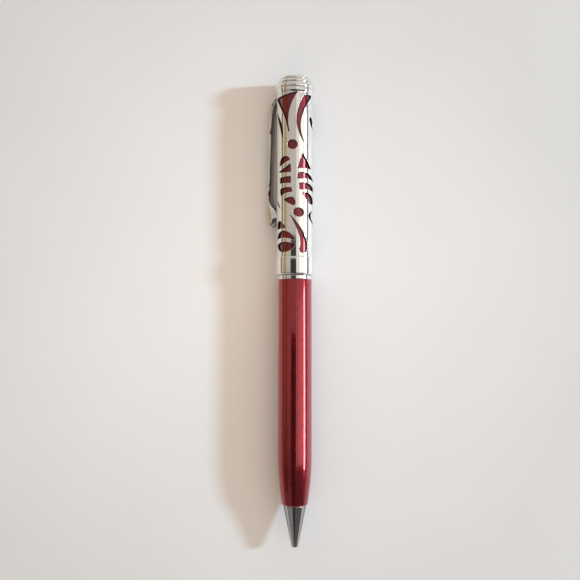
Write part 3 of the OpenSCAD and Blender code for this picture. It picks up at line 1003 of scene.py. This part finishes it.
clip_verts, clip_faces = [], []
for i, (outer, inner) in enumerate(zip(outer_points, inner_points)):
    end = min(1.0, (STATIONS - i) / TIP_STATIONS)
    half = CLIP_WIDTH / 2 * (TIP_WIDTH + (1 - TIP_WIDTH) * math.sqrt(1 - (1 - end) ** 2))
    for k in range(AROUND):
        side, depth = bar_section(k)
        spot = inner.lerp(outer, depth)
        clip_verts.append(clip_vertex(side * half, spot.x, spot.y))
for i in range(STATIONS):
    for k in range(AROUND):
        a, b = i * AROUND + k, i * AROUND + (k + 1) % AROUND
        clip_faces.append((a, a + AROUND, b + AROUND, b))
clip_faces.append(tuple(range(AROUND)))
clip_faces.append(tuple(STATIONS * AROUND + k for k in reversed(range(AROUND))))
clip = piece_from("clip_arm", clip_verts, clip_faces, clip_chrome, 50)
assign(clip, "clip", "chrome_plate", "pocket_clip")

# %% [markdown]
# ## Writing point
# The refill's needle only comes out when the cap is turned, but then it is the first thing that a
# writer looks at. It is turned like the other metal parts, with a fine crimped lip round the ball.

# %% Needle and ball socket
INK_HOLE, NEEDLE_R, SHANK_R, FLANGE_R, PLUG_R = 0.15, 0.55, 1.2, 1.6, 1.24
point_high = height_of("refill_point")[1]
ball = height_of("writing_ball")[0]
point_section = soften(
    [(INK_HOLE, ball + 0.75, 0), (0.3, ball + 0.6, 0), (0.365, ball + 0.35, 0), (0.335, ball + 0.2, 0)]
    + [(0.38, ball + 0.19), (NEEDLE_R, ball + 0.9), (NEEDLE_R, ball + 6.3), (SHANK_R, ball + 7.5)]
    + [(SHANK_R, ball + 13.8), (FLANGE_R, ball + 13.8), (FLANGE_R, ball + 14.59)]
    + [(PLUG_R, ball + 14.59), (PLUG_R, point_high), (INK_HOLE, point_high)],
    0.03,
)
needle = turned("needle_point", point_section, point_steel, 128)
assign(needle, "refill", "steel", "refill_point")

# %% [markdown]
# ## Return spring
# The spring sits round the refill inside the nose cone and shortens as the point comes out. Its
# wire is swept along a helix. The coils close up at both ends, as on a real compression spring.

# %% Return spring
spring_low, spring_high = height_of("return_spring")
WIRE = 0.15  # radius of the wire
COIL = reach_of("return_spring") - WIRE
TURNS, PER_TURN, WIRE_SIDES = 9, 40, 12
CLOSED_TURNS = 1.1  # at each end
spring_span = spring_high - spring_low - 2 * WIRE


def coil_height(share):
    """Height along the spring: close coils at the ends, open ones between."""
    ends = CLOSED_TURNS / TURNS
    pitch = 2.2 * WIRE * TURNS
    if share < ends:
        return share * pitch
    if share > 1 - ends:
        return spring_span - (1 - share) * pitch
    first, last = ends * pitch, spring_span - ends * pitch
    return first + (last - first) * (share - ends) / (1 - 2 * ends)


spring_verts, spring_faces = [], []
for i in range(TURNS * PER_TURN + 1):
    share = i / (TURNS * PER_TURN)
    angle, level = 360 * i / PER_TURN, spring_low + WIRE + coil_height(share)
    for k in range(WIRE_SIDES):
        a = math.tau * k / WIRE_SIDES
        spring_verts.append(place(COIL + WIRE * math.cos(a), angle, level + WIRE * math.sin(a)))
for i in range(TURNS * PER_TURN):
    for k in range(WIRE_SIDES):
        a, b = i * WIRE_SIDES + k, i * WIRE_SIDES + (k + 1) % WIRE_SIDES
        spring_faces.append((a, b, b + WIRE_SIDES, a + WIRE_SIDES))
spring_faces.append(tuple(reversed(range(WIRE_SIDES))))
spring_faces.append(tuple(TURNS * PER_TURN * WIRE_SIDES + k for k in range(WIRE_SIDES)))
spring = piece_from("spring_coil", spring_verts, spring_faces, steel, 60)
assign(spring, "barrel", "steel", "return_spring")
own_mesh(spring)

# %% [markdown]
# ## Table
# The pen lies on a pale table with a dull, even sheen. A real table top is never one flat colour:
# this one has faint clouds and a fine grain. It is also painted paler towards the middle and darker
# towards its edges: a painted pool of light.

# %% Table top
table_paint, table_shader = new_finish("table top", (0.85, 0.85, 0.84), 0.0, 0.4)
table_flat = coordinates(table_paint)
# The centre of the painted pool of light: the table is painted paler near it and darker away from it.
LIGHT_POOL_CENTRE = (0.011, -0.008, 0)  # metres, added to a place before its distance is taken
shifted = add(table_paint, "ShaderNodeVectorMath", operation="ADD")
shifted.inputs[1].default_value = LIGHT_POOL_CENTRE
join(table_paint, table_flat, shifted.inputs[0])
middle = add(table_paint, "ShaderNodeVectorMath", operation="LENGTH")
join(table_paint, shifted.outputs["Vector"], middle.inputs[0])
clouds = noise(table_paint, table_flat, 14, 4)
clouds_and_light_pool = add(table_paint, "ShaderNodeMath", operation="MULTIPLY_ADD")
clouds_and_light_pool.inputs[1].default_value = 0.04
join(table_paint, clouds, clouds_and_light_pool.inputs[0])
join(table_paint, middle.outputs["Value"], clouds_and_light_pool.inputs[2])
away = spread(table_paint, clouds_and_light_pool.outputs["Value"], 0, 1, 0.02, 0.125)
# Painted light: pale near the centre, darker towards the table's edges.
painted_light_pool = blend_colours(table_paint, away, (0.95, 0.945, 0.94), (0.70, 0.71, 0.71))
join(table_paint, painted_light_pool, table_shader.inputs["Base Color"])
dent(table_paint, table_shader, noise(table_paint, table_flat, 2600, 3), 4e-6, 0.3)


def flat_piece(name, corners, material):
    """One flat face with four corners."""
    mesh = bpy.data.meshes.new(name)
    mesh.from_pydata(corners, [], [(0, 1, 2, 3)])
    mesh.materials.append(material)
    piece = bpy.data.objects.new(name, mesh)
    bpy.context.scene.collection.objects.link(piece)
    return piece


table = flat_piece("table", [(-3, -3, 0), (3, -3, 0), (3, 3, 0), (-3, 3, 0)], table_paint)
print("the table is %d m wide" % table.dimensions.x)

# %% [markdown]
# ## Light
# Daylight comes in low from a window on the right and throws one clear shadow to the left. A
# mirror-like object shows its surroundings more than itself, so the room matters as much as the
# lamp: a bright wall on the right, a warmer and darker one on the left, and a dark shape straight
# above, where someone leans over to look. They are plain cards that the camera doesn't see and
# that throw no shadow of their own. Angles are measured at the pen, from straight up towards +X.


# %% Cards in an arc over the pen
DUSK_NEAR, DUSK_FAR = -0.35, 0.15  # places along the pen, in metres, that a card fades between


def glow(name, corners, colour, strength, dusk=None):
    """A glowing card. Dusk is the share of its light that is left by the writing end."""
    material, shader = new_finish(name, (0, 0, 0), 0.0, 1.0)
    shader.inputs["Specular IOR Level"].default_value = 0.0
    shader.inputs["Emission Color"].default_value = (*colour, 1)
    shader.inputs["Emission Strength"].default_value = strength
    if dusk is not None:
        parts = add(material, "ShaderNodeSeparateXYZ")
        join(material, coordinates(material), parts.inputs["Vector"])
        fade = spread(material, parts.outputs["Y"], strength * dusk, strength, DUSK_NEAR, DUSK_FAR)
        join(material, fade, shader.inputs["Emission Strength"])
    piece = flat_piece(name, corners, material)
    piece.visible_camera = False
    piece.visible_shadow = False
    return piece


def card(name, start, end, distance, ends, colour, strength, dusk=None):
    """A glowing strip that spans an arc of the room, and runs along the pen between two ends."""
    turn = math.radians((start + end) / 2)
    half = distance * math.tan(math.radians(end - start) / 2)
    near, far = ends
    corners = [(-half, near, 0), (half, near, 0), (half, far, 0), (-half, far, 0)]
    piece = glow(name, corners, colour, strength, dusk)
    piece.location = (AXIS_X + distance * math.sin(turn), 0, AXIS_Z + distance * math.cos(turn))
    piece.rotation_euler = (0, turn + math.pi, 0)
    return piece


# %% [markdown]
# The window is made twice. A small strong card throws the crisp shadow, and a long soft one is
# seen only in reflections, because polish marks round a real pen stretch a lamp's image along it.
# The overhead lamp is the reverse: it only fills the shadow, and nothing mirrors it.

# %% The room
window = card("window", 61, 67, 2.0, (0.12, 0.27), (0.57, 0.79, 1.0), 330)
window.visible_glossy = False
glare = card("window glare", 62, 72, 0.9, (-0.25, 0.30), (0.97, 0.99, 1.0), 11)
glare.visible_diffuse = False
card("right wall", 26, 57, 1.2, (-0.29, 0.40), (1.0, 0.97, 0.88), 1.2)
card("right wall top", 8, 26, 1.3, (-0.31, 0.46), (1.0, 0.94, 0.85), 0.85)
overhead = card("overhead lamp", -22, 22, 1.0, (-0.4, 0.4), (1.0, 0.97, 0.95), 0.58)
overhead.visible_glossy = False
card("ceiling", -26, 8, 1.4, (-0.8, 1.3), (1.0, 0.9, 0.79), 0.55)
card("left wall top", -54, -26, 1.3, (-1.0, 1.3), (1.0, 0.86, 0.72), 0.54, 0.4)
card("left wall", -73, -54, 1.25, (-1.0, 1.3), (1.0, 0.79, 0.42), 0.38, 0.3)
card("brass lamp", -78, -73, 1.2, (-1.0, 1.0), (1.0, 0.88, 0.42), 0.85, 0.35)
above = card("dark shape above", -26, 7, 0.257, (-0.3, 0.052), (1.0, 0.95, 0.97), 0.04)
above.visible_diffuse = False
print("the window stands %.2f m above the table" % window.location.z)

# %% [markdown]
# Near the table's edge the room is darker on both sides. These two strips are seen only in
# reflections, so that they draw the dark lines along the pen without dimming the table.

# %% Low furniture on both sides
for name, start, end, colour, strength in (
    ("low right", 74, 88, (1.0, 1.0, 1.02), 0.3),
    ("low left", -91, -78.5, (1.0, 0.85, 0.6), 0.22),
):
    card(name, start, end, 1.1, (-1.0, 0.6), colour, strength).visible_diffuse = False

# %% [markdown]
# The person who leans over the table stands at the writing end. That is why the cone there is
# mostly dark: its slope looks back towards them, not up at the ceiling. Two warm walls far off at
# both ends are the opposite of a card for reflections: they only warm the shadow on the table.


# %% The ends of the room
def end_card(name, left, right, low, high, y, colour, strength):
    """An upright card across the table, towards one end of the pen."""
    corners = [(left, y, low), (right, y, low), (right, y, high), (left, y, high)]
    return glow(name, corners, colour, strength)


person = end_card("person", -0.06, 2.3, 0.1, 2.2, -0.55, (1.0, 0.88, 0.85), 0.12)
person.visible_diffuse = False
shelf = end_card("shelf behind the person", -2.0, -0.06, 0.1, 1.8, -0.57, (1.0, 0.96, 0.95), 0.26)
shelf.visible_diffuse = False
for name, y in (("end wall near", -1.35), ("end wall far", 1.35)):
    wall = end_card(name, -1.3, 1.3, 0, 1.2, y, (1.0, 0.68, 0.48), 1.45)
    wall.visible_glossy = False

world = bpy.data.worlds.new("room")
bpy.context.scene.world = world
world.use_nodes = True
world.node_tree.nodes["Background"].inputs["Color"].default_value = (1.0, 0.94, 0.86, 1)
world.node_tree.nodes["Background"].inputs["Strength"].default_value = 0.7
bpy.context.scene.view_settings.view_transform = "Standard"
print("table and room ready")
